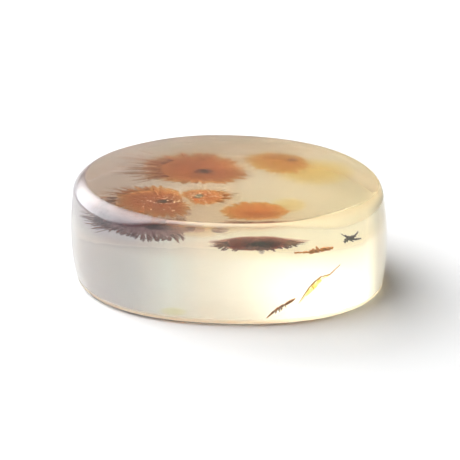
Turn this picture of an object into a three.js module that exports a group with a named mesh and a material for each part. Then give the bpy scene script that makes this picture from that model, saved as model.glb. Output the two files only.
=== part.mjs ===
// A polished freeform slab of dendritic agate: one thick, slightly egg-shaped oval of translucent
// chalcedony with a flat polished face, a softly rounded rim, walls that draw in towards the base,
// and a small flat spot underneath that it rests on.
// Millimetres, +Z up. The origin is on the resting surface, under the middle of the stone's box.
// +X runs along the stone's length, and -Y is the front.

import * as THREE from "three";

// Driving dimensions
const OVAL_LONG = 31.1; // the oval's long axis, where the stone is widest
const OVAL_SHORT = 27.1;
const OVAL_TURN = THREE.MathUtils.degToRad(-27); // of the long axis from +X, seen from above
const THICKNESS = 10;

// The outline was ground by eye, so the oval isn't quite even.
const PEAR = -0.012; // share by which it is fuller at three places round the edge
const SQUARENESS = -0.013; // below 0, the quarters of the oval are a little full

// The top face and its rounded rim. The rim is worn soft, narrower at the right and the back, and
// has stayed crisp at the front. Sectors are in degrees from +X: a middle, and how far to each side
// the sector is full and where it ends.
const CROWN = 0.12; // rise of the polished face from its rim to its middle
const WORN_DEPTH = 1.2;
const WORN_WIDTH = 1.4;
const NARROW_WIDTH = 0.5;
const NARROW_SECTOR = { middle: 40, full: 55, end: 95 };
const CRISP_RIM = 0.35; // depth and width of the rounding where it is crisp
const CRISP_SECTOR = { middle: -90, full: 22, end: 46 };
const BEVEL = 1.35; // 1 rounds the rim evenly, 2 would make it a flat bevel

// The stone is widest at the waist. Above it the wall leans in, more and more. Below it the wall
// curves in.
const WAIST_HEIGHT = 4.5;
const WALL_LEAN = 0.58; // how far in the wall would stand at the full thickness
const FOOT_WIDTH = 0.75;

// The underside is very slightly domed, and rests on a flat spot in its middle.
const REST_SHARE = 0.62; // the flat spot's reach, as a share of the base
const BELLY = 0.18; // rise of the underside from the flat spot to the foot
const HEEL = 0.35; // radius of the soft edge between the underside and the wall

// Fineness of the surface
const STEPS_ROUND = 108;
const CROWN_RINGS = 4;
const RIM_RINGS = 8;
const WALL_RINGS = 3;
const FOOT_RINGS = 6;
const FOOT_CROWDING = 1.4; // above 1, the rings of the foot are closer together near the base
const HEEL_RINGS = 4;
const BELLY_RINGS = 3;

const STONE = { color: 0xe6dcc0, roughness: 0.08, metalness: 0, transparent: true, opacity: 0.85 };

// The outline's reach from the oval's middle, at an angle in radians from +X.
function reachAt(angle) {
  const along = Math.cos(angle - OVAL_TURN) / (OVAL_LONG / 2);
  const across = Math.sin(angle - OVAL_TURN) / (OVAL_SHORT / 2);
  const uneven = PEAR * Math.sin(3 * angle) + SQUARENESS * Math.cos(4 * angle);
  return (1 + uneven) / Math.hypot(along, across);
}

function angleAt(step) {
  return (step / STEPS_ROUND) * 2 * Math.PI;
}

function polar(angle, reach) {
  return new THREE.Vector2(reach * Math.cos(angle), reach * Math.sin(angle));
}

// The middle of the outline's box, seen from the oval's middle.
function outlineMiddle() {
  const box = new THREE.Box2();
  for (let step = 0; step < STEPS_ROUND; step++) {
    box.expandByPoint(polar(angleAt(step), reachAt(angleAt(step))));
  }
  return box.getCenter(new THREE.Vector2());
}

// How far the wall stands in from the outline at a height, before the rim and heel are rounded.
function wallInset(height) {
  if (height >= WAIST_HEIGHT) {
    return WALL_LEAN * ((height - WAIST_HEIGHT) / (THICKNESS - WAIST_HEIGHT)) ** 2;
  }
  const below = 1 - height / WAIST_HEIGHT;
  return FOOT_WIDTH * (1 - Math.sqrt(1 - below * below));
}

// How far outside a sector an angle is: 0 where the sector is full, 1 from its end on.
function outside(sector, angle) {
  const turn = angle - THREE.MathUtils.degToRad(sector.middle);
  const away = Math.abs(Math.atan2(Math.sin(turn), Math.cos(turn)));
  return THREE.MathUtils.smoothstep(THREE.MathUtils.radToDeg(away), sector.full, sector.end);
}

function rimDepthAt(angle) {
  return THREE.MathUtils.lerp(CRISP_RIM, WORN_DEPTH, outside(CRISP_SECTOR, angle));
}

function rimWidthAt(angle) {
  const worn = THREE.MathUtils.lerp(NARROW_WIDTH, WORN_WIDTH, outside(NARROW_SECTOR, angle));
  return THREE.MathUtils.lerp(CRISP_RIM, worn, outside(CRISP_SECTOR, angle));
}

function rimFootAt(angle) {
  return THICKNESS - CROWN - rimDepthAt(angle);
}

// How far in and how high the rim stands, a turn of the way over its rounding.
function rimInset(angle, turn) {
  return wallInset(rimFootAt(angle)) + rimWidthAt(angle) * (1 - Math.cos(turn) ** BEVEL);
}

function rimHeight(angle, turn) {
  return rimFootAt(angle) + rimDepthAt(angle) * Math.sin(turn) ** BEVEL;
}

// The rings of the stone from its base to its top. Each gives the inset and the height at an angle,
// and a share of the way from the ring's middle to the edge of a flat or domed face.
function makeRings() {
  const rings = [];
  const heelInset = wallInset(BELLY + HEEL) + HEEL;

  for (let ring = 0; ring <= BELLY_RINGS; ring++) {
    const share = REST_SHARE + (1 - REST_SHARE) * (ring / BELLY_RINGS);
    const rise = BELLY * ((share - REST_SHARE) / (1 - REST_SHARE)) ** 2;
    rings.push({ share, inset: () => heelInset, height: () => rise });
  }
  for (let ring = 1; ring <= HEEL_RINGS; ring++) {
    const turn = (ring / HEEL_RINGS) * (Math.PI / 2);
    const inset = heelInset - HEEL * Math.sin(turn);
    const height = BELLY + HEEL * (1 - Math.cos(turn));
    rings.push({ share: 1, inset: () => inset, height: () => height });
  }
  for (let ring = 1; ring <= FOOT_RINGS; ring++) {
    const share = (ring / FOOT_RINGS) ** FOOT_CROWDING;
    const height = BELLY + HEEL + (WAIST_HEIGHT - BELLY - HEEL) * share;
    rings.push({ share: 1, inset: () => wallInset(height), height: () => height });
  }
  for (let ring = 1; ring <= WALL_RINGS; ring++) {
    const share = ring / WALL_RINGS;
    const height = (angle) => THREE.MathUtils.lerp(WAIST_HEIGHT, rimFootAt(angle), share);
    rings.push({ share: 1, inset: (angle) => wallInset(height(angle)), height });
  }
  for (let ring = 1; ring <= RIM_RINGS; ring++) {
    const turn = (ring / RIM_RINGS) * (Math.PI / 2);
    const height = (angle) => rimHeight(angle, turn);
    rings.push({ share: 1, inset: (angle) => rimInset(angle, turn), height });
  }
  for (let ring = CROWN_RINGS; ring >= 1; ring--) {
    const share = ring / (CROWN_RINGS + 1);
    const height = THICKNESS - CROWN * share * share;
    rings.push({ share, inset: (angle) => rimInset(angle, Math.PI / 2), height: () => height });
  }
  return rings;
}

function makeStone() {
  const middle = outlineMiddle();
  const rings = makeRings();
  const places = [0, 0, 0];
  for (const { share, inset, height } of rings) {
    for (let step = 0; step < STEPS_ROUND; step++) {
      const angle = angleAt(step);
      const place = polar(angle, reachAt(angle) - inset(angle)).sub(middle);
      places.push(place.x * share, place.y * share, height(angle));
    }
  }
  places.push(0, 0, THICKNESS);

  const topMiddle = places.length / 3 - 1;
  const vertex = (ring, step) => 1 + ring * STEPS_ROUND + (step % STEPS_ROUND);
  const faces = [];
  for (let step = 0; step < STEPS_ROUND; step++) {
    faces.push(0, vertex(0, step + 1), vertex(0, step));
    for (let ring = 0; ring < rings.length - 1; ring++) {
      const near = [vertex(ring, step), vertex(ring, step + 1)];
      const far = [vertex(ring + 1, step), vertex(ring + 1, step + 1)];
      faces.push(near[0], near[1], far[1], near[0], far[1], far[0]);
    }
    faces.push(vertex(rings.length - 1, step), vertex(rings.length - 1, step + 1), topMiddle);
  }

  const geometry = new THREE.BufferGeometry();
  geometry.setAttribute("position", new THREE.Float32BufferAttribute(places, 3));
  geometry.setIndex(faces);
  geometry.computeVertexNormals();
  const mesh = new THREE.Mesh(geometry, new THREE.MeshStandardMaterial(STONE));
  mesh.name = "agate_stone";
  return mesh;
}

const specimen = new THREE.Group();
specimen.add(makeStone());

export default specimen;
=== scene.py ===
# A polished slab of dendritic agate on a white table, in strong soft daylight from the back left.
import math
import random

import bmesh
import bpy
import numpy as np
from mathutils import Matrix, Vector


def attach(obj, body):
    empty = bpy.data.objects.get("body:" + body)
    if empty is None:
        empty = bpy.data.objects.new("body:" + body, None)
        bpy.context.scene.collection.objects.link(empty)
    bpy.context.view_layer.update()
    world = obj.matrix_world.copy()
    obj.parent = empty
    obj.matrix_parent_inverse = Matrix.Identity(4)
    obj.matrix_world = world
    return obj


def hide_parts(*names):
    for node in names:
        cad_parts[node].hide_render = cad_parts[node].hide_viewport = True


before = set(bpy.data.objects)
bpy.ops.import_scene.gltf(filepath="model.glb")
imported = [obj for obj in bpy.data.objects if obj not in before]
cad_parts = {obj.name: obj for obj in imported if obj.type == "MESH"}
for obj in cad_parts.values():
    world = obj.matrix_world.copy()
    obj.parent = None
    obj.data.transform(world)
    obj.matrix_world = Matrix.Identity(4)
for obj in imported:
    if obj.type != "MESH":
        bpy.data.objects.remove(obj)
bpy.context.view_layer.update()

mm = 0.001  # the scene is in metres


def deselectAll():
    if bpy.context.object and bpy.context.object.mode != "OBJECT":
        bpy.ops.object.mode_set(mode="OBJECT")
    bpy.ops.object.select_all(action="DESELECT")


# Node helpers: each takes sockets or plain values, and gives back the node or socket that it made
def addNode(tree, kind, **values):
    node = tree.nodes.new(kind)
    for name, value in values.items():
        setattr(node, name, value)
    return node


def feed(tree, socket, source):
    if isinstance(source, bpy.types.NodeSocket):
        tree.links.new(source, socket)
    else:
        socket.default_value = source


def mapRange(tree, source, low, high, toLow=0.0, toHigh=1.0):
    node = addNode(tree, "ShaderNodeMapRange", interpolation_type="SMOOTHSTEP")
    sockets = [node.inputs[k] for k in ("Value", "From Min", "From Max", "To Min", "To Max")]
    for socket, value in zip(sockets, (source, low, high, toLow, toHigh)):
        feed(tree, socket, value)
    return node.outputs["Result"]


def mixColors(tree, factor, low, high, blend="MIX"):
    node = addNode(tree, "ShaderNodeMix", data_type="RGBA", blend_type=blend)
    for name, value in (("Factor", factor), ("A", low), ("B", high)):
        socket = [k for k in node.inputs if k.name == name and k.enabled][0]
        feed(tree, socket, value)
    return [k for k in node.outputs if k.enabled][0]


def maths(tree, operation, first, second):
    node = addNode(tree, "ShaderNodeMath", operation=operation)
    feed(tree, node.inputs[0], first)
    feed(tree, node.inputs[1], second)
    return node.outputs["Value"]


def noise(tree, place, scale, detail):
    node = addNode(tree, "ShaderNodeTexNoise")
    feed(tree, node.inputs["Vector"], place)
    feed(tree, node.inputs["Scale"], scale)
    feed(tree, node.inputs["Detail"], detail)
    return node.outputs["Fac"]


def placeInMm(tree):
    place = addNode(tree, "ShaderNodeTexCoord")
    scaled = addNode(tree, "ShaderNodeVectorMath", operation="SCALE")
    scaled.inputs["Scale"].default_value = 1 / mm
    tree.links.new(place.outputs["Object"], scaled.inputs[0])
    return scaled.outputs["Vector"]


def alongWay(tree, place, way):
    node = addNode(tree, "ShaderNodeVectorMath", operation="DOT_PRODUCT")
    tree.links.new(place, node.inputs[0])
    node.inputs[1].default_value = way
    return node.outputs["Value"]


def ramp(tree, factor, stops):
    node = addNode(tree, "ShaderNodeValToRGB")
    elements = node.color_ramp.elements
    while len(elements) < len(stops):
        elements.new(0.5)
    for element, (position, color) in zip(elements, stops):
        element.position = position
        element.color = color
    feed(tree, node.inputs["Fac"], factor)
    return node.outputs["Color"]


def newGroup(name, ins, outs):
    tree = bpy.data.node_groups.new(name, "ShaderNodeTree")
    for socketName, kind, value in ins:
        socket = tree.interface.new_socket(socketName, in_out="INPUT", socket_type=kind)
        socket.default_value = value
    for socketName, kind in outs:
        tree.interface.new_socket(socketName, in_out="OUTPUT", socket_type=kind)
    return tree, addNode(tree, "NodeGroupInput"), addNode(tree, "NodeGroupOutput")


def newMaterial(name):
    material = bpy.data.materials.new(name)
    material.use_nodes = True
    return material, material.node_tree, material.node_tree.nodes["Principled BSDF"]


# Camera: a long macro lens a little above the stone, looking along +Y
cameraSetup = {
    "aim": Vector((0.19, -0.15, 4.59)) * mm,
    "distance": 250 * mm,
    "elevation": 20.0,
    "roll": -0.84,
    "lens": 205.7,
    "sensor": 36.0,
    "clip": (10 * mm, 10.0),
}


def makeCamera(setup):
    data = bpy.data.cameras.new("macroCamera")
    data.lens = setup["lens"]
    data.sensor_width = setup["sensor"]
    data.clip_start, data.clip_end = setup["clip"]
    camera = bpy.data.objects.new("macroCamera", data)
    bpy.context.scene.collection.objects.link(camera)
    lift = math.radians(setup["elevation"])
    away = Vector((0, -math.cos(lift), math.sin(lift)))
    tilt = Matrix.Rotation(math.pi / 2 - lift, 4, "X")
    turn = tilt @ Matrix.Rotation(math.radians(setup["roll"]), 4, "Z")
    camera.matrix_world = Matrix.Translation(setup["aim"] + away * setup["distance"]) @ turn
    bpy.context.scene.camera = camera


# Light: a dim sky with a pale glow low at the back left, a low wide window behind the stone to the
# left, and a high one at the left. Azimuths are in degrees from +Y, minus is to the left.
skySetup = {
    "color": (0.97, 0.985, 1.0, 1),
    "strength": 0.19,
    "glowAzimuth": -60.0,
    "glowElevation": 22.0,
    "glowReach": (0.72, 0.95),  # cosines of the angle from its middle, where it starts and is full
    "glowStrength": 7.4,
}
windowSetup = {
    "low_window": {"azimuth": -32.0, "elevation": 28.0, "width": 350 * mm, "radiance": 6.9},
    "high_window": {"azimuth": -115.0, "elevation": 66.0, "width": 400 * mm, "radiance": 8.6},
}
windowDistance = 450 * mm
lightBounces = {"max_bounces": 24, "transmission_bounces": 16, "volume_bounces": 12}


def direction(azimuth, elevation):
    turn, lift = math.radians(azimuth), math.radians(elevation)
    return Vector((math.sin(turn) * math.cos(lift), math.cos(turn) * math.cos(lift), math.sin(lift)))


def makeSky(setup):
    world = bpy.data.worlds.new("paleSky")
    bpy.context.scene.world = world
    world.use_nodes = True
    tree = world.node_tree
    background = tree.nodes["Background"]
    background.inputs["Color"].default_value = setup["color"]
    place = addNode(tree, "ShaderNodeTexCoord")
    glow = direction(setup["glowAzimuth"], setup["glowElevation"])
    facing = alongWay(tree, place.outputs["Generated"], glow)
    full = setup["strength"] + setup["glowStrength"]
    strength = mapRange(tree, facing, *setup["glowReach"], setup["strength"], full)
    tree.links.new(strength, background.inputs["Strength"])


def makeWindow(name, setup):
    data = bpy.data.lights.new(name, "AREA")
    data.shape = "RECTANGLE"
    data.size = data.size_y = setup["width"]
    data.energy = setup["radiance"] * math.pi * data.size * data.size_y
    light = bpy.data.objects.new(name, data)
    bpy.context.scene.collection.objects.link(light)
    towards = direction(setup["azimuth"], setup["elevation"])
    light.location = towards * windowDistance
    light.rotation_euler = towards.to_track_quat("Z", "Y").to_euler()
    light.visible_glossy = False  # the polish doesn't mirror the windows


floorSetup = {"size": 3.0, "color": (0.385, 0.385, 0.385, 1), "roughness": 0.6}


def makeFloor(setup):
    deselectAll()
    bpy.ops.mesh.primitive_plane_add(size=setup["size"])
    floor = bpy.context.object
    floor.name = "table"
    material, tree, shader = newMaterial("whiteTable")
    shader.inputs["Base Color"].default_value = setup["color"]
    shader.inputs["Roughness"].default_value = setup["roughness"]
    floor.data.materials.append(material)


# The stone: the CAD solid's own surface, rounded finely and milky inside
stoneSetup = {
    "merge": 0.001 * mm,
    "quadLimit": math.radians(60),  # the most bend and skew of two triangles that become a quad
    "levels": 1,
    "transmission": 0.97,
    "ior": 1.54,
    "iorLevel": 0.3,
    "absorbColor": (0.95, 0.85, 0.55, 1),
    "absorbDensity": 4.0,
    "milkColor": (0.993, 1.0, 0.985, 1),
    "milkDensity": 64.0,
    "milkForward": 0.4,
    "waveStrength": 0.25,
    "waveDepth": 0.2 * mm,
}

# Its tints: the wall goes from lilac at the left end to cream at the right, its grey-lilac left end and
# dark right end being painted shade; the polished face goes from brown at the back left to straw at the
# front right, darker at the back left as painted shade; and the amber foot is a painted warm glow.
zoneSetup = {
    "wallReach": (-15.0, 15.0),
    # painted shade: the grey-blue left end and the dark right end; between them is the stone's own cream
    "wall": [
        (0.0, (0.44, 0.43, 0.45, 1)),
        (0.12, (0.57, 0.64, 0.69, 1)),
        (0.24, (0.77, 0.95, 0.92, 1)),
        (0.38, (0.94, 1.0, 0.85, 1)),
        (0.75, (0.965, 1.0, 0.84, 1)),
        (0.92, (1.0, 0.98, 0.80, 1)),
        (0.985, (0.96, 0.94, 0.78, 1)),
        (0.997, (0.32, 0.32, 0.29, 1)),
    ],
    # painted shade: the lilac left end darkens the upper wall there; the rest is a small warm correction of
    # the wall's own tint
    "upper": [  # of the wall above upperEdge, over the wall's own
        (0.05, (0.72, 0.66, 0.73, 1)),
        (0.45, (1.0, 0.97, 0.92, 1)),
        (0.6, (1.0, 0.98, 0.82, 1)),
    ],
    "upperEdge": (6.0, 7.5),
    "faceWay": (0.75, -0.66, 0.0),
    "faceReach": (-11.0, 7.0),
    # the stone's brown to straw over the face, made darker towards the back left as painted shade
    "face": [
        (0.0, (0.62, 0.44, 0.32, 1)),
        (0.22, (0.66, 0.49, 0.35, 1)),
        (0.37, (0.80, 0.61, 0.43, 1)),
        (0.6, (1.0, 0.77, 0.52, 1)),
        (1.0, (1.0, 0.86, 0.53, 1)),
    ],
    "faceEdge": (9.0, 9.9),
    # painted warm glow: the amber of light that has come through the stone, painted on its foot
    "foot": (0.99, 0.80, 0.54, 1),
    "footEdge": (0.9, 0.35),
    "base": (0.98, 1.0, 0.95, 1),
    "baseEdge": (0.35, 0.2),
    "cloud": (0.93, 0.94, 0.92, 1),
    "cloudScale": 0.16,
    "cloudDetail": 3.0,
    "cloudEdge": (0.35, 0.7),
    "waveScale": 0.22,
    "waveDetail": 2.0,
    # painted shade: both rim tints darken the rim's reflection and what is seen through it, to lavender grey
    # where it is worn
    "rim": (0.82, 0.77, 0.69, 1),
    "wornRimShade": (0.42, 0.34, 0.42, 1),
    "rimFoot": (0.1, 0.3),  # how much the surface faces up where the rim begins
    "rimTop": (0.93, 0.99),  # and where it ends
    "wornReach": (-2.0, -8.0),
    "polishReach": (-9.0, 9.0),  # from the front to the back, as the next two
    "wallRoughness": (0.04, 0.5),
    "faceRoughness": (0.05, 0.26),
    "rimRoughness": (0.45, 0.2),  # where it is crisp and where it is worn
    "footRoughness": 0.8,
    "baseRoughness": 0.3,
}


def zoneMasks(tree, place, setup):
    height = alongWay(tree, place, (0, 0, 1))
    names = ("upper", "face", "foot", "base")
    masks = {name: mapRange(tree, height, *setup[name + "Edge"]) for name in names}
    up = alongWay(tree, addNode(tree, "ShaderNodeNewGeometry").outputs["Normal"], (0, 0, 1))
    begun, ended = mapRange(tree, up, *setup["rimFoot"]), mapRange(tree, up, *setup["rimTop"])
    masks["rim"] = maths(tree, "SUBTRACT", begun, ended)
    masks["worn"] = mapRange(tree, alongWay(tree, place, (1, 0, 0)), *setup["wornReach"])
    return masks


# Painted shade at the wall's ends, the face's back left, the upper left wall and the rim, and a painted warm
# glow at the foot, over the stone's own tints and clouds
def zoneTint(tree, place, masks, cloudiness, setup):
    across = mapRange(tree, alongWay(tree, place, (1, 0, 0)), *setup["wallReach"])
    sunny = mapRange(tree, alongWay(tree, place, setup["faceWay"]), *setup["faceReach"])
    wall, upper = ramp(tree, across, setup["wall"]), ramp(tree, across, setup["upper"])
    tint = mixColors(tree, masks["upper"], wall, upper, "MULTIPLY")
    tint = mixColors(tree, masks["face"], tint, ramp(tree, sunny, setup["face"]))
    # the foot's painted warm glow
    tint = mixColors(tree, masks["foot"], tint, setup["foot"])
    tint = mixColors(tree, masks["base"], tint, setup["base"])
    cloud = noise(tree, place, setup["cloudScale"], setup["cloudDetail"])
    cloud = maths(tree, "MULTIPLY", mapRange(tree, cloud, *setup["cloudEdge"]), cloudiness)
    tint = mixColors(tree, cloud, tint, setup["cloud"], "MULTIPLY")
    # the rim's painted shade, darker and lilac at the worn left
    rim = mixColors(tree, masks["worn"], setup["rim"], setup["wornRimShade"])
    return mixColors(tree, masks["rim"], tint, rim, "MULTIPLY")


def zoneRoughness(tree, place, masks, setup):
    back = alongWay(tree, place, (0, 1, 0))
    wall = mapRange(tree, back, *setup["polishReach"], *setup["wallRoughness"])
    face = mapRange(tree, back, *setup["polishReach"], *setup["faceRoughness"])
    rim = mapRange(tree, masks["worn"], 0.0, 1.0, *setup["rimRoughness"])
    rough = mapRange(tree, masks["face"], 0.0, 1.0, wall, face)
    rough = mapRange(tree, masks["rim"], 0.0, 1.0, rough, rim)
    rough = mapRange(tree, masks["foot"], 0.0, 1.0, rough, setup["footRoughness"])
    return mapRange(tree, masks["base"], 0.0, 1.0, rough, setup["baseRoughness"])


def makeZones(setup):
    ins = [("Cloud", "NodeSocketFloat", 1.0)]
    outs = [("Tint", "NodeSocketColor"), ("Roughness", "NodeSocketFloat"), ("Height", "NodeSocketFloat")]
    tree, given, result = newGroup("agateZones", ins, outs)
    place = placeInMm(tree)
    masks = zoneMasks(tree, place, setup)
    tint = zoneTint(tree, place, masks, given.outputs["Cloud"], setup)
    feed(tree, result.inputs["Tint"], tint)
    feed(tree, result.inputs["Roughness"], zoneRoughness(tree, place, masks, setup))
    feed(tree, result.inputs["Height"], noise(tree, place, setup["waveScale"], setup["waveDetail"]))
    return tree


def makeStoneMaterial(setup, zones):
    material, tree, shader = newMaterial("polishedAgate")
    shader.inputs["IOR"].default_value = setup["ior"]
    shader.inputs["Specular IOR Level"].default_value = setup["iorLevel"]
    shader.inputs["Transmission Weight"].default_value = setup["transmission"]
    zone = addNode(tree, "ShaderNodeGroup", node_tree=zones)
    tree.links.new(zone.outputs["Tint"], shader.inputs["Base Color"])
    tree.links.new(zone.outputs["Roughness"], shader.inputs["Roughness"])
    wave = addNode(tree, "ShaderNodeBump")
    wave.inputs["Strength"].default_value = setup["waveStrength"]
    wave.inputs["Distance"].default_value = setup["waveDepth"]
    tree.links.new(zone.outputs["Height"], wave.inputs["Height"])
    tree.links.new(wave.outputs["Normal"], shader.inputs["Normal"])
    absorb = addNode(tree, "ShaderNodeVolumeAbsorption")
    absorb.inputs["Color"].default_value = setup["absorbColor"]
    absorb.inputs["Density"].default_value = setup["absorbDensity"]
    milk = addNode(tree, "ShaderNodeVolumeScatter")
    milk.inputs["Color"].default_value = setup["milkColor"]
    milk.inputs["Density"].default_value = setup["milkDensity"]
    milk.inputs["Anisotropy"].default_value = setup["milkForward"]
    both = addNode(tree, "ShaderNodeAddShader")
    tree.links.new(absorb.outputs["Volume"], both.inputs[0])
    tree.links.new(milk.outputs["Volume"], both.inputs[1])
    tree.links.new(both.outputs["Shader"], tree.nodes["Material Output"].inputs["Volume"])
    return material


def copyNode(node, name):
    copy = node.copy()
    copy.data = node.data.copy()
    for key in list(copy.keys()):
        del copy[key]
    copy.parent = None
    copy.matrix_world = Matrix.Identity(4)
    copy.name = name
    bpy.context.scene.collection.objects.link(copy)
    return copy


def makeStone(setup, material):
    deselectAll()
    stone = copyNode(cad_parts["agate_stone"], "polished_stone")
    stone.select_set(True)
    bpy.context.view_layer.objects.active = stone
    bpy.ops.object.mode_set(mode="EDIT")
    bpy.ops.mesh.select_all(action="SELECT")
    bpy.ops.mesh.remove_doubles(threshold=setup["merge"])
    limit = setup["quadLimit"]
    bpy.ops.mesh.tris_convert_to_quads(face_threshold=limit, shape_threshold=limit)
    bpy.ops.object.mode_set(mode="OBJECT")
    smooth = stone.modifiers.new("fineSurface", "SUBSURF")
    smooth.levels = smooth.render_levels = setup["levels"]
    bpy.ops.object.modifier_apply(modifier=smooth.name)
    bpy.ops.object.shade_smooth()
    stone.data.materials.clear()
    stone.data.materials.append(material)
    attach(stone, "root")
    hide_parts("agate_stone")
    return stone


# Oxide: the finish of the twigs, buds, sprouts and grains, with its own colour where it faces up and a
# darker one on its flanks, which is partly the dark oxide beneath the rust and partly painted shade
oxideSetup = {
    "shadedFlank": (0.06, 0.026, 0.03, 1),
    "topEdge": (0.45, 0.95),
    "grainScale": 2.5,
    "grainDetail": 4.0,
    "grainEdge": (0.3, 0.7),
    "grainTints": [(0.72, 0.66, 0.62, 1), (1.15, 1.15, 1.12, 1)],
    "roughness": (0.45, 0.7),
}

# A growth's twigs change colour from its heart to its tips, and each has a tone of its own.
growthSetup = {
    "heart": (0.028, 0.02, 0.026, 1),
    "brown": (0.20, 0.07, 0.035, 1),
    "rust": (0.34, 0.12, 0.05, 1),
    "tip": (0.62, 0.28, 0.13, 1),
    "gold": (0.72, 0.42, 0.07, 1),
    "ends": (0.04, 0.16, 0.36, 0.7, 0.85),  # shares of the reach: heart, brown, rust from and to, tip
    "tones": [(0.0, (0.62, 0.56, 0.55, 1)), (1.0, (1.1, 1.1, 1.1, 1))],
}


def makeOxideGroup(setup):
    ins = [
        ("Color", "NodeSocketColor", (1, 1, 1, 1)), ("Flank", "NodeSocketColor", setup["shadedFlank"]),
        ("Grain", "NodeSocketFloat", setup["grainScale"]),
    ]
    outs = [("Color", "NodeSocketColor"), ("Roughness", "NodeSocketFloat")]
    tree, given, result = newGroup("oxideFinish", ins, outs)
    shape = addNode(tree, "ShaderNodeNewGeometry")
    # surfaces that face up get the top colour, the rest the darker flank colour, partly painted shade
    onTop = mapRange(tree, alongWay(tree, shape.outputs["Normal"], (0, 0, 1)), *setup["topEdge"])
    grain = noise(tree, placeInMm(tree), given.outputs["Grain"], setup["grainDetail"])
    uneven = ramp(tree, grain, list(zip(setup["grainEdge"], setup["grainTints"])))
    color = mixColors(tree, onTop, given.outputs["Flank"], given.outputs["Color"])
    feed(tree, result.inputs["Color"], mixColors(tree, 1.0, color, uneven, "MULTIPLY"))
    rough = mapRange(tree, grain, *setup["grainEdge"], *setup["roughness"])
    feed(tree, result.inputs["Roughness"], rough)
    return tree


def makeOxide(name, group, paint, shadedFlank=None):
    material, tree, shader = newMaterial(name)
    finish = addNode(tree, "ShaderNodeGroup", node_tree=group)
    feed(tree, finish.inputs["Color"], paint(tree))
    if shadedFlank:
        feed(tree, finish.inputs["Flank"], shadedFlank)
    tree.links.new(finish.outputs["Color"], shader.inputs["Base Color"])
    tree.links.new(finish.outputs["Roughness"], shader.inputs["Roughness"])
    return material


def plainPaint(color):
    return lambda tree: color


def growthPaint(setup, gold):
    def gilded(color):
        return [color[k] * (1 - gold) + setup["gold"][k] * gold for k in range(4)]

    def paint(tree):
        outwards = addNode(tree, "ShaderNodeAttribute", attribute_name="growth").outputs["Fac"]
        tone = addNode(tree, "ShaderNodeAttribute", attribute_name="tone").outputs["Fac"]
        body, tip = gilded(setup["rust"]), gilded(setup["tip"])
        colors = (setup["heart"], setup["brown"], body, body, tip)
        color = ramp(tree, outwards, list(zip(setup["ends"], colors)))
        return mixColors(tree, 1.0, color, ramp(tree, tone, setup["tones"]), "MULTIPLY")
    return paint


# Twigs: each kind is modelled once, a millimetre long, and copied into every growth
twigSetup = {
    "frond": {"joints": 6, "width": 0.12, "depth": 0.17, "taper": 0.84, "sway": 0.03, "barb": 0.17},
    "hair": {"joints": 4, "width": 0.05, "depth": 0.05, "taper": 0.74, "sway": 0.015, "barb": 0},
}
lastTaper = 0.3  # of a twig's last joint
swayBack = -1.6  # times the sway, at every third joint
barbSetup = {
    "fade": 1.15,  # a barb is this less its share of the way along the twig, times the twig's barb
    "lean": 0.7,  # forwards, over its reach sideways
    "joints": [(1.0, 0.55), (0.8, 0.25)],  # length and width of each
    "thin": 0.7,
}
faceSearch = {"forwards": 0.9, "slack": 0.001, "sideways": 0.7, "near": 0.03}  # to find where to grow


def pickFaces(piece, wanted):
    mesh = bmesh.from_edit_mesh(piece.data)
    for face in mesh.faces:
        face.select_set(wanted(face.calc_center_median(), face.normal))
    bmesh.update_edit_mesh(piece.data)


def pullFaces(offset, scale, centre):
    bpy.ops.mesh.extrude_region_move(TRANSFORM_OT_translate={"value": offset})
    bpy.ops.transform.resize(value=scale, center_override=centre)


def growBarb(twig, along, way, reach, setup):
    def onSide(middle, normal):
        return abs(middle.x - along) < faceSearch["near"] and normal.y * way > faceSearch["sideways"]

    pickFaces(twig, onSide)
    root = Vector((0, 0, 0))
    picked = [face.calc_center_median() for face in bmesh.from_edit_mesh(twig.data).faces if face.select]
    for middle in picked:
        root += middle / len(picked)
    for length, width in setup["joints"]:
        shift = Vector((reach * setup["lean"], reach * way, 0)) * length
        root += shift
        pullFaces(shift, (width, width, setup["thin"]), root)


def modelTwig(name, setup):
    deselectAll()
    step = 1.0 / setup["joints"]
    centre = (step / 2, 0, 0)

    def atTip(middle, normal):
        return normal.x > faceSearch["forwards"] and middle.x > step * joint - faceSearch["slack"]

    bpy.ops.mesh.primitive_cube_add(size=1, location=centre)
    twig = bpy.context.object
    twig.name = name
    bpy.ops.object.transform_apply(location=True, rotation=True, scale=True)
    bpy.ops.object.mode_set(mode="EDIT")
    bpy.ops.mesh.select_mode(type="FACE")
    bpy.ops.mesh.select_all(action="SELECT")
    bpy.ops.transform.resize(value=(step, setup["width"], setup["depth"]), center_override=centre)
    side = 0.0
    for joint in range(1, setup["joints"]):
        pickFaces(twig, atTip)
        sway = setup["sway"] * (1 if joint % 3 else swayBack)
        side += sway
        taper = setup["taper"] if joint < setup["joints"] - 1 else lastTaper
        pullFaces((step, sway, 0), (1, taper, taper), (step * (joint + 1), side, 0))
    if setup["barb"]:
        for joint in range(1, setup["joints"]):
            reach = setup["barb"] * (barbSetup["fade"] - joint * step)
            growBarb(twig, step * (joint + 0.5), 1 if joint % 2 else -1, reach, barbSetup)
    bpy.ops.mesh.select_all(action="SELECT")
    bpy.ops.mesh.normals_make_consistent(inside=False)
    bpy.ops.object.mode_set(mode="OBJECT")
    return twig


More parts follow.
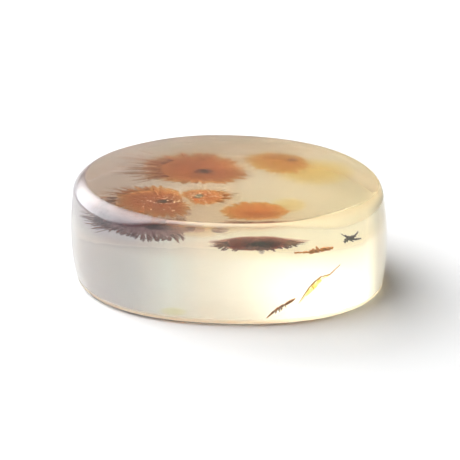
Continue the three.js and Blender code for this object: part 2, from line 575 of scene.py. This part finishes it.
# Dendrites: growths spread flat in one thin layer. A growth's reach goes from east round by north,
# and its body is the reach of its stain where that differs. Felt, rays and hairs are numbers of
# twigs, fans are the ways in degrees that the hairs point, and hairReach is over the growth's own.
# A core is given as east, north, half its width and half its depth, and gold goes from 0 to 1.
dendriteSetup = {
    "dendrite_back": {
        "heart": (-2.3, 2.4), "height": 8.8, "seed": 3,
        "reach": (3.7, 3.6, 4.6, 5.4, 6.1, 6.4, 5.7, 4.7, 3.7, 3.3, 4.2, 4.6),
        "felt": 6, "rays": 6, "hairs": 110, "fans": [(130, 205)], "hairReach": 1.6,
        "nucleus": 0.3, "core": (-2.3, 2.4, 1.0, 0.8), "gold": 0.0, "stain": "rust", "haze": True,
    },
    "dendrite_front_left": {
        "heart": (-6.0, -4.75), "height": 7.25, "seed": 5,
        "reach": (2.0, 2.5, 3.6, 4.4, 4.7, 6.5, 6.4, 5.0, 4.3, 4.6, 4.8, 3.6),
        "body": (2.0, 2.5, 3.6, 4.4, 4.7, 4.8, 4.8, 4.6, 4.0, 4.3, 4.6, 3.5),
        "hairs": 110, "fans": [(105, 200)], "hairReach": 1.2,
        "nucleus": 0.45, "core": (-5.9, -4.75, 0.9, 0.5), "gold": 0.0,
    },
    "dendrite_middle": {
        "heart": (-2.7, -3.4), "height": 6.75, "seed": 7,
        "reach": (3.4, 3.2, 2.6, 2.4, 2.6, 2.3, 1.5, 1.4, 2.0, 2.7, 2.7, 3.0),
        "hairs": 24, "fans": [(-40, 40)], "hairReach": 1.3,
        "nucleus": 0.3, "core": (-2.7, -3.4, 0.5, 0.5), "gold": 0.15, "haze": True,
    },
    "dendrite_right": {
        "heart": (5.7, 5.8), "height": 8.8, "seed": 11,
        "reach": (1.7, 1.4, 1.2, 1.4, 2.0, 3.2, 4.1, 3.9, 4.2, 4.8, 3.6, 2.1),
        "hairs": 8, "fans": [(-70, 50)], "hairReach": 1.3,
        "nucleus": 0.06, "core": (6.3, 5.5, 0.6, 0.5), "gold": 0.6, "stain": "gold", "haze": True,
    },
    "dendrite_front_right": {
        "heart": (2.6, -11.75), "height": 7.64, "seed": 13,
        "reach": (4.6, 2.6, 1.6, 1.2, 1.6, 2.6, 4.6, 2.4, 1.4, 1.2, 1.4, 2.4),
        "hairs": 60, "fans": [(-14, 10), (172, 194)], "hairReach": 1.22,
        "nucleus": 0.3, "core": (3.0, -11.9, 1.9, 0.5), "gold": 0.1,
    },
}

# How the twigs of a dendrite stand: starts and tips are shares of its reach there, and widths are
# times those of the twig as modelled.
habitSetup = {
    "lift": 0.12,
    "pitch": 0.04,
    "felt": {
        "start": 0.84, "crowding": 0.6, "tip": (0.9, 1.02), "length": (0.9, 1.5), "least": 0.5,
        "width": (0.25, 0.4), "spread": 0.2,
    },
    "rays": {"tip": (0.92, 1.08), "length": (0.8, 1.5), "width": (0.35, 0.65), "spread": 0.12},
    "hairs": {"start": 0.7, "tip": 0.85, "length": (1.5, 3.6), "width": (0.8, 1.5), "spread": 0.05},
    "nucleus": {"count": 70, "length": (0.6, 1.1), "width": 1.6, "pitch": (-1.0, 0.3), "tone": 0.2},
}

# Combs: the front edges of two growths, dark teeth that stand out of a dusky stain
combSetup = {
    "comb_front_left": {
        "heart": (-6.0, -6.6), "height": 7.95, "seed": 5,
        "teeth": 76, "fan": (150, 301), "length": (0.5, 1.1), "drop": 0.0,
        "reach": (2.0, 2.5, 3.6, 4.4, 4.7, 6.2, 5.7, 4.6, 4.3, 4.6, 4.9, 3.6),
        "body": (1.8, 2.2, 3.1, 3.9, 4.3, 5.8, 5.6, 4.2, 3.8, 4.1, 4.3, 3.1),
        "stain": "dusk",
    },
    "comb_front_right": {
        "heart": (2.6, -11.75), "height": 7.64, "seed": 13,
        "teeth": 30, "fan": (175, 365), "length": (0.35, 0.7), "drop": 0.16,
        "reach": (4.6, 1.9, 1.2, 1.0, 1.2, 1.9, 4.9, 2.0, 1.25, 1.1, 1.25, 2.0),
        "body": (4.7, 1.8, 1.0, 0.85, 1.0, 1.8, 5.0, 1.8, 1.05, 0.9, 1.05, 1.8),
        "stain": "umber", "thickness": 1.25, "bulge": 1.7, "fray": 0.3,
    },
}
toothSetup = {
    "color": (0.20, 0.07, 0.05, 1),
    "jitter": 0.4, "tip": (0.94, 1.08), "lift": 0.1, "spread": 0.16, "pitch": (-0.45, -0.15),
    "width": (0.45, 0.75),
}
cornerRounding = 0.3  # radians to each side over which a growth's reach is averaged


def reachAt(angles, reaches):
    around = np.linspace(0, 2 * np.pi, len(reaches) + 1)
    closed = list(reaches) + [reaches[0]]
    sharp = np.interp(np.mod(angles, 2 * np.pi), around, closed)
    ahead = np.interp(np.mod(angles + cornerRounding, 2 * np.pi), around, closed)
    behind = np.interp(np.mod(angles - cornerRounding, 2 * np.pi), around, closed)
    return (sharp + ahead + behind) / 3


def reachTowards(angle, reaches):
    return float(reachAt(np.array([angle]), reaches)[0])


def pointTowards(heart, angle, away, height):
    return (heart[0] + away * math.cos(angle), heart[1] + away * math.sin(angle), height)


def readPlaces(mesh):
    places = np.empty(len(mesh.vertices) * 3)
    mesh.vertices.foreach_get("co", places)
    return places.reshape(-1, 3)


def finishGrowth(piece, name, material):
    piece.name = name
    piece.data.materials.clear()
    piece.data.materials.append(material)
    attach(piece, "root")
    return piece


def joinPieces(name, parts, material):
    deselectAll()
    for part in parts:
        part.select_set(True)
    bpy.context.view_layer.objects.active = parts[0]
    bpy.ops.object.join()
    return finishGrowth(parts[0], name, material)


def copyTwig(twig, place, size):
    copy = twig.copy()
    copy.data = twig.data.copy()
    bpy.context.scene.collection.objects.link(copy)
    root, heading, pitch = place
    length, width = size
    turn = Matrix.Rotation(heading, 4, "Z") @ Matrix.Rotation(-pitch, 4, "Y")
    stretch = Matrix.Diagonal((length * mm, width * mm, width * mm, 1))
    copy.data.transform(Matrix.Translation(Vector(root) * mm) @ turn @ stretch)
    return copy


# A planted twig knows how far out in its growth each point is, and its own tone.
def plantTwig(twig, place, size, setup, tone):
    copy = copyTwig(twig, place, size)
    places = readPlaces(copy.data) / mm
    away = places[:, :2] - np.array(setup["heart"])
    growth = np.hypot(away[:, 0], away[:, 1]) / reachAt(np.arctan2(away[:, 1], away[:, 0]), setup["reach"])
    copy.data.attributes.new("growth", "FLOAT", "POINT").data.foreach_set("value", growth)
    tones = np.full(len(places), tone)
    copy.data.attributes.new("tone", "FLOAT", "POINT").data.foreach_set("value", tones)
    return copy


# Each of these three gives a twig's angle, start, length and width.
def feltTwig(chance, setup, habit):
    angle = chance.uniform(0, 2 * math.pi)
    reach = reachTowards(angle, setup["reach"])
    start = reach * habit["start"] * chance.random() ** habit["crowding"]
    length = min(reach * chance.uniform(*habit["tip"]) - start, chance.uniform(*habit["length"]))
    return angle, start, max(length, habit["least"]), chance.uniform(*habit["width"])


def rayTwig(chance, setup, habit):
    angle = chance.uniform(0, 2 * math.pi)
    reach = reachTowards(angle, setup["reach"])
    length = chance.uniform(*habit["length"])
    tip = reach * chance.uniform(*habit["tip"])
    return angle, tip - length, length, chance.uniform(*habit["width"])


def hairTwig(chance, setup, fan, habit):
    angle = math.radians(chance.uniform(*fan))
    reach = reachTowards(angle, setup["reach"])
    tip = reach * chance.uniform(habit["tip"], setup["hairReach"])
    start = max(tip - chance.uniform(*habit["length"]), habit["start"] * reach)
    return angle, start, tip - start, chance.uniform(*habit["width"])


def makeNucleus(chance, setup, frond, habit):
    parts = []
    for number in range(int(habit["count"] * setup["nucleus"])):
        angle = chance.uniform(0, 2 * math.pi)
        place = ((*setup["core"][:2], setup["height"]), angle, chance.uniform(*habit["pitch"]))
        length = setup["nucleus"] * chance.uniform(*habit["length"])
        parts.append(plantTwig(frond, place, (length, length * habit["width"]), setup, habit["tone"]))
    return parts


def makeDendrite(name, setup, habit, frond, hair, material):
    chance = random.Random(setup["seed"])
    parts = []

    def plant(twig, stem, spread):
        angle, start, length, width = stem
        height = setup["height"] + chance.uniform(-habit["lift"], habit["lift"])
        root = pointTowards(setup["heart"], angle, start, height)
        place = (root, angle + chance.gauss(0, spread), chance.gauss(0, habit["pitch"]))
        parts.append(plantTwig(twig, place, (length, width), setup, chance.random()))

    for number in range(setup.get("felt", 0)):
        plant(frond, feltTwig(chance, setup, habit["felt"]), habit["felt"]["spread"])
    for number in range(setup.get("rays", 0)):
        plant(frond, rayTwig(chance, setup, habit["rays"]), habit["rays"]["spread"])
    for number in range(setup["hairs"]):
        fan = setup["fans"][number % len(setup["fans"])]
        plant(hair, hairTwig(chance, setup, fan, habit["hairs"]), habit["hairs"]["spread"])
    parts += makeNucleus(chance, setup, frond, habit["nucleus"])
    return joinPieces(name, parts, material)


def makeComb(name, setup, tooth, frond, material):
    chance = random.Random(setup["seed"])
    low, high = (math.radians(k) for k in setup["fan"])
    parts = []
    for number in range(setup["teeth"]):
        jitter = chance.uniform(-tooth["jitter"], tooth["jitter"])
        angle = low + (high - low) * (number + jitter) / setup["teeth"]
        reach = reachTowards(angle, setup["reach"]) * chance.uniform(*tooth["tip"])
        length = chance.uniform(*setup["length"])
        height = setup["height"] - setup["drop"] + chance.uniform(-tooth["lift"], tooth["lift"])
        root = pointTowards(setup["heart"], angle, reach - length, height)
        place = (root, angle + chance.gauss(0, tooth["spread"]), chance.uniform(*tooth["pitch"]))
        parts.append(copyTwig(frond, place, (length, chance.uniform(*tooth["width"]))))
    return joinPieces(name, parts, material)


# Stain: the thin clouds in and round the growths. They are clear and only soak up light, so they
# are bright where they are looked through and dark where they are looked along, as in the real stone.
stainSetup = {
    "thickness": 0.42,
    "bulge": 0.4,  # 1 is a round lens, less is a disc of even thickness, more is a thin-edged lens
    "rays": (7, 60),  # numbers of rays round a stain, the last one left out
    "fray": 0.09,
    "frayStart": 0.45,  # share of the reach from which a stain is frayed
    "thinning": 0.75,
    "softFray": 0.1,
    "softBulge": 2,
    "segments": 240,
    "rings": 24,
}
stainTints = {
    "rust": {"color": (0.92, 0.60, 0.0, 1), "density": 7000.0},
    "umber": {"color": (0.80, 0.60, 0.56, 1), "density": 5000.0},
    "dusk": {"color": (0.78, 0.65, 0.66, 1), "density": 4600.0},
    "gold": {"color": (0.93, 0.70, 0.0, 1), "density": 5500.0},
    "pool": {"color": (0.99, 0.82, 0.1, 1), "density": 2200.0},
    "cap": {"color": (0.972, 0.67, 0.0, 1), "density": 7000.0},
    "haze": {"color": (0.82, 0.52, 0.0, 1), "density": 900.0},
    "core": {"color": (0.42, 0.22, 0.34, 1), "density": 2800.0},
    "slate": {"color": (0.42, 0.42, 0.50, 1), "density": 2600.0},
    "lavender": {"color": (0.72, 0.60, 0.76, 1), "density": 1900.0},
    "veil": {"color": (0.82, 0.68, 0.50, 1), "density": 420.0},
    "patch": {"color": (0.97, 0.93, 0.55, 1), "density": 1200.0},
    "shade": {"color": (0.60, 0.48, 0.55, 1), "density": 900.0},
}
hazeSpread = 1.35  # reach of the weak haze over that of the growth in it

# Caps: the rusty tops of three growths, close under the polished face
capSetup = {
    "cap_front_left": {
        "heart": (-6.0, -6.2), "height": 9.1, "seed": 5,
        "reach": (1.7, 1.9, 2.9, 4.2, 4.6, 4.8, 4.3, 3.6, 3.5, 4.1, 4.5, 2.6),
    },
    "cap_middle": {
        "heart": (-2.7, -5.2), "height": 9.1, "seed": 7,
        "reach": (3.2, 2.7, 2.2, 2.0, 2.1, 1.9, 1.1, 0.9, 1.3, 2.2, 2.1, 2.5),
    },
    "cap_front_right": {
        "heart": (2.6, -9.6), "height": 9.1, "seed": 13,
        "reach": (3.1, 2.8, 2.7, 2.9, 3.0, 3.1, 3.4, 2.6, 2.1, 1.9, 2.1, 2.6),
    },
}
poolSetup = {  # the yellow stain beside the right growth
    "heart": (8.2, 1.6), "height": 8.8, "seed": 17, "spread": 1.5,
    "reach": (2.8, 2.9, 3.0, 3.0, 3.1, 2.8, 2.6, 2.6, 2.6, 2.7, 2.8, 2.8),
}

# Smears: small soft clouds, each with its middle and half its size
smearSetup = {
    "smear_slate": {"place": (-6.2, -10.95, 8.92), "size": (1.2, 0.35, 0.25), "tint": "slate"},
    "smear_left": {"place": (-2.9, -12.1, 9.12), "size": (1.0, 0.3, 0.36), "tint": "lavender"},
    "smear_right": {"place": (-0.65, -12.4, 9.12), "size": (0.8, 0.3, 0.3), "tint": "lavender"},
    "smear_bud": {"place": (3.0, -12.6, 7.12), "size": (0.28, 0.25, 0.26), "tint": "slate"},
    "smear_heart": {"place": (3.0, -12.2, 7.55), "size": (1.5, 0.35, 0.34), "tint": "slate"},
    "smear_back": {"place": (-0.6, 1.7, 8.2), "size": (3.4, 2.0, 0.35), "tint": "shade"},
    "smear_streak": {"place": (5.6, -7.6, 8.9), "size": (1.7, 2.0, 0.13), "tint": "pool"},
    "smear_front": {"place": (3.0, -9.9, 8.8), "size": (2.1, 1.0, 0.26), "tint": "shade"},
    "smear_far": {"place": (0.0, 8.6, 8.7), "size": (8.7, 3.6, 0.55), "tint": "veil"},
    "smear_patch": {"place": (-5.0, -11.7, 1.1), "size": (1.3, 0.4, 0.4), "tint": "patch"},
}
smearFineness = {"segments": 48, "ring_count": 16}
coreSetup = {"drop": 0.05, "height": 0.3}  # how far a core lies below its growth, and half its height

# Bud: the grey-green middle of one growth, in a pale ring
budSetup = {
    "bud_ring": {"place": (-2.55, -5.2, 9.1), "size": (0.6, 0.85, 0.1), "color": (0.62, 0.40, 0.24, 1)},
    "bud_heart": {"place": (-2.65, -5.05, 9.24), "size": (0.42, 0.5, 0.1), "color": (0.24, 0.27, 0.22, 1)},
}


def makeStainMaterial(name, setup):
    material, tree, shader = newMaterial(name)
    shader.inputs["Base Color"].default_value = (1, 1, 1, 1)
    shader.inputs["Roughness"].default_value = 0.0
    shader.inputs["IOR"].default_value = 1.0
    shader.inputs["Transmission Weight"].default_value = 1.0
    absorb = addNode(tree, "ShaderNodeVolumeAbsorption")
    absorb.inputs["Color"].default_value = setup["color"]
    absorb.inputs["Density"].default_value = setup["density"]
    tree.links.new(absorb.outputs["Volume"], tree.nodes["Material Output"].inputs["Volume"])
    return material


def makeSmear(name, place, size, material):
    deselectAll()
    bpy.ops.mesh.primitive_uv_sphere_add(radius=1, location=Vector(place) * mm, **smearFineness)
    smear = bpy.context.object
    smear.scale = Vector(size) * mm
    bpy.ops.object.transform_apply(location=True, rotation=True, scale=True)
    bpy.ops.object.shade_smooth()
    return finishGrowth(smear, name, material)


def makeCore(name, growth, setup, material):
    east, north, wide, deep = growth["core"]
    place = (east, north, growth["height"] - setup["drop"])
    return makeSmear(name, place, (wide, deep, setup["height"]), material)


def rayWaves(angles, seed, setup):
    chance = np.random.default_rng(seed)
    fewest, most = setup["rays"]
    waves = np.zeros(len(angles))
    for turns in range(fewest, most):
        height, phase = chance.normal(), chance.uniform(0, 6.28)
        waves += height * np.cos(turns * angles + phase) / math.sqrt(most)
    return waves


# A stain is a ball that is flattened and drawn out to its growth's reach, with a frayed edge. A soft
# one is hardly frayed and thin at its edge.
def makeStain(name, growth, setup, material, spread=1.0, soft=False):
    deselectAll()
    bpy.ops.mesh.primitive_uv_sphere_add(segments=setup["segments"], ring_count=setup["rings"], radius=1)
    stain = bpy.context.object
    places = readPlaces(stain.data)
    angles = np.arctan2(places[:, 1], places[:, 0])
    out = np.hypot(places[:, 0], places[:, 1])
    waves = rayWaves(angles, growth["seed"], setup)
    frayed = np.clip((out - setup["frayStart"]) / (1 - setup["frayStart"]), 0, 1) ** 2
    fray = (setup["softFray"] if soft else 1) * growth.get("fray", setup["fray"])
    reach = spread * reachAt(angles, growth.get("body", growth["reach"])) * (1 + fray * waves * frayed)
    thinned = 1 - setup["thinning"] * frayed * np.clip(0.5 - waves, 0, 1)
    thick = 0.5 * growth.get("thickness", setup["thickness"]) * thinned
    bulge = setup["softBulge"] if soft else growth.get("bulge", setup["bulge"])
    flat = np.sign(places[:, 2]) * np.abs(places[:, 2]) ** bulge
    places[:, 0] = growth["heart"][0] + reach * out * np.cos(angles)
    places[:, 1] = growth["heart"][1] + reach * out * np.sin(angles)
    places[:, 2] = growth["height"] + thick * flat
    stain.data.vertices.foreach_set("co", (places * mm).ravel())
    stain.data.update()
    bpy.ops.object.shade_smooth()
    return finishGrowth(stain, name, material)


# Sprouts: small growths just inside the front wall, drawn in strokes. A stroke runs through places,
# each given as mm along the stone and mm above the table, and has a width for every stretch.
sproutDepth = 0.72
sproutSetup = {
    "sprout_star": {
        "color": (0.09, 0.09, 0.11, 1),
        "strokes": [
            ([(11.21, 7.43), (10.57, 8.0)], [0.8]), ([(11.1, 7.4), (11.85, 7.46), (12.13, 7.7)], [1.6, 0.7]),
            ([(11.21, 7.43), (11.9, 7.1), (12.4, 6.99)], [1.5, 1.0]), ([(11.3, 7.5), (10.84, 7.19)], [1.6]),
            ([(11.2, 7.4), (11.66, 6.99)], [1.1]), ([(11.3, 7.4), (10.93, 7.79)], [1.2]),
        ],
    },
    "sprout_level": {
        "color": (0.85, 0.36, 0.06, 1),
        "strokes": [
            ([(6.14, 6.97), (6.95, 6.94), (7.7, 6.88)], [0.8, 1.0]),
            ([(7.6, 6.9), (8.66, 6.94), (9.65, 6.92)], [2.0, 1.9]),
            ([(8.35, 6.95), (8.12, 7.3)], [1.7]), ([(7.95, 6.95), (7.75, 7.15)], [1.3]),
        ],
    },
    "sprout_plume_edge": {
        "color": (0.55, 0.27, 0.08, 1),
        "strokes": [
            ([(10.38, 5.13), (9.83, 4.75), (9.37, 4.4)], [0.4, 0.5]),
            ([(9.4, 4.42), (8.56, 4.36), (8.01, 3.98), (7.47, 3.48), (7.02, 2.85), (6.47, 2.03)],
             [0.6, 0.75, 0.75, 0.7, 0.5]),
            ([(7.74, 3.53), (7.92, 3.15)], [0.4]),
        ],
    },
    "sprout_low": {
        "color": (0.55, 0.21, 0.06, 1),
        "strokes": [
            ([(5.6, 2.2), (4.94, 1.87), (4.49, 1.6), (4.04, 1.22), (3.5, 0.68)], [1.3, 1.5, 1.5, 1.2]),
            ([(4.62, 1.7), (4.64, 1.22)], [0.5]), ([(4.8, 1.8), (4.86, 1.38)], [0.5]),
            ([(4.36, 1.5), (4.3, 1.08)], [0.5]), ([(5.15, 1.98), (5.24, 1.62)], [0.4]),
        ],
    },
    "sprout_low_bud": {
        "color": (0.62, 0.27, 0.08, 1),
        "strokes": [([(5.4, 2.1), (6.03, 2.44)], [1.6])],
    },
}
# painted shade: a sprout's flanks are its own colour made darker
sproutFlankShade = 0.6  # brightness of a sprout's flanks over its top
plumeSetup = {
    "color": (0.98, 0.82, 0.0, 1),
    "density": 5200.0,
    "strokes": [
        ([(9.3, 4.38), (8.5, 4.12), (8.02, 3.7), (7.55, 3.2), (7.05, 2.68), (6.5, 2.0)], [4, 8, 10, 8, 4]),
    ],
}
strokeOverlap = {"start": 0.08, "length": 1.25}  # shares of a stretch, so that stretches run together
clearOfStone = -40  # a place before the front wall


def wallPlace(stone, along, height, depth):
    start = Vector((along, clearOfStone, height)) * mm
    found, place, normal, face = stone.ray_cast(start, Vector((0, 1, 0)))
    return (place - normal * depth * mm) / mm


def drawStrokes(stone, twig, strokes):
    parts = []
    for places, widths in strokes:
        points = [wallPlace(stone, along, height, sproutDepth) for along, height in places]
        for start, end, width in zip(points, points[1:], widths):
            way = end - start
            root = start - way * strokeOverlap["start"]
            place = (root, math.atan2(way.y, way.x), math.asin(way.z / way.length))
            parts.append(copyTwig(twig, place, (way.length * strokeOverlap["length"], width)))
    return parts


# Grains: pale specks just under the polished face. They are strewn over a growth, and shifted to
# the front so that they are seen before it.
grainSetup = {
    "color": (1.0, 0.93, 0.78, 1), "size": (0.16, 0.24), "height": 9.68, "shift": -1.8,
    "count": 40, "reach": (0.15, 0.8), "seed": 21,
}
grainHosts = ("dendrite_front_left", "dendrite_middle")


def makeGrains(name, growth, setup, material):
    deselectAll()
    bpy.ops.mesh.primitive_ico_sphere_add(subdivisions=1, radius=0.5)
    grain = bpy.context.object
    chance = random.Random(setup["seed"])
    body = growth.get("body", growth["reach"])
    middle = (growth["heart"][0], growth["heart"][1] + setup["shift"])
    parts = []
    for number in range(setup["count"]):
        angle = chance.uniform(0, 2 * math.pi)
        away = reachTowards(angle, body) * chance.uniform(*setup["reach"])
        size = chance.uniform(*setup["size"])
        root = pointTowards(middle, angle, away, setup["height"])
        parts.append(copyTwig(grain, (root, angle, 0), (size, size)))
    bpy.data.objects.remove(grain)
    return joinPieces(name, parts, material)


bpy.context.scene.view_settings.view_transform = "Standard"
for name, value in lightBounces.items():
    setattr(bpy.context.scene.cycles, name, value)
makeCamera(cameraSetup)
makeSky(skySetup)
for name, setup in windowSetup.items():
    makeWindow(name, setup)
makeFloor(floorSetup)
print("camera, light and table made")

stone = makeStone(stoneSetup, makeStoneMaterial(stoneSetup, makeZones(zoneSetup)))
print("stone made")

oxide = makeOxideGroup(oxideSetup)
stains = {name: makeStainMaterial(name + "_stain", setup) for name, setup in stainTints.items()}
frond = modelTwig("frond", twigSetup["frond"])
hair = modelTwig("hair", twigSetup["hair"])
for name, setup in dendriteSetup.items():
    material = makeOxide(name + "_oxide", oxide, growthPaint(growthSetup, setup["gold"]))
    makeDendrite(name, setup, habitSetup, frond, hair, material)
    if "stain" in setup:
        makeStain(name.replace("dendrite", "stain"), setup, stainSetup, stains[setup["stain"]])
    if "haze" in setup:
        makeStain(name.replace("dendrite", "haze"), setup, stainSetup, stains["haze"], hazeSpread, True)
    makeCore(name.replace("dendrite", "core"), setup, coreSetup, stains["core"])
    print(name, "made")

teeth = makeOxide("comb_oxide", oxide, plainPaint(toothSetup["color"]))
for name, setup in combSetup.items():
    makeComb(name, setup, toothSetup, frond, teeth)
    makeStain(name.replace("comb", "stain"), setup, stainSetup, stains[setup["stain"]])
for name, setup in smearSetup.items():
    makeSmear(name, setup["place"], setup["size"], stains[setup["tint"]])
for name, setup in budSetup.items():
    material = makeOxide(name + "_oxide", oxide, plainPaint(setup["color"]), setup["color"])
    makeSmear(name, setup["place"], setup["size"], material)
makeStain("stain_pool", poolSetup, stainSetup, stains["pool"], poolSetup["spread"], True)
for name, setup in capSetup.items():
    makeStain(name, setup, stainSetup, stains["cap"])
print("combs, smears, bud, pool and caps made")

for name, setup in sproutSetup.items():
    # painted shade: the flank colour is the top colour darkened
    dark = tuple(sproutFlankShade * channel for channel in setup["color"][:3]) + (1,)
    material = makeOxide(name + "_oxide", oxide, plainPaint(setup["color"]), dark)
    joinPieces(name, drawStrokes(stone, frond, setup["strokes"]), material)
plume = makeStainMaterial("plume_stain", plumeSetup)
joinPieces("sprout_plume", drawStrokes(stone, hair, plumeSetup["strokes"]), plume)
speck = makeOxide("grain_oxide", oxide, plainPaint(grainSetup["color"]), grainSetup["color"])
for name in grainHosts:
    makeGrains(name.replace("dendrite", "grains"), dendriteSetup[name], grainSetup, speck)
print("sprouts and grains made")
for twig in (frond, hair):
    bpy.data.objects.remove(twig)
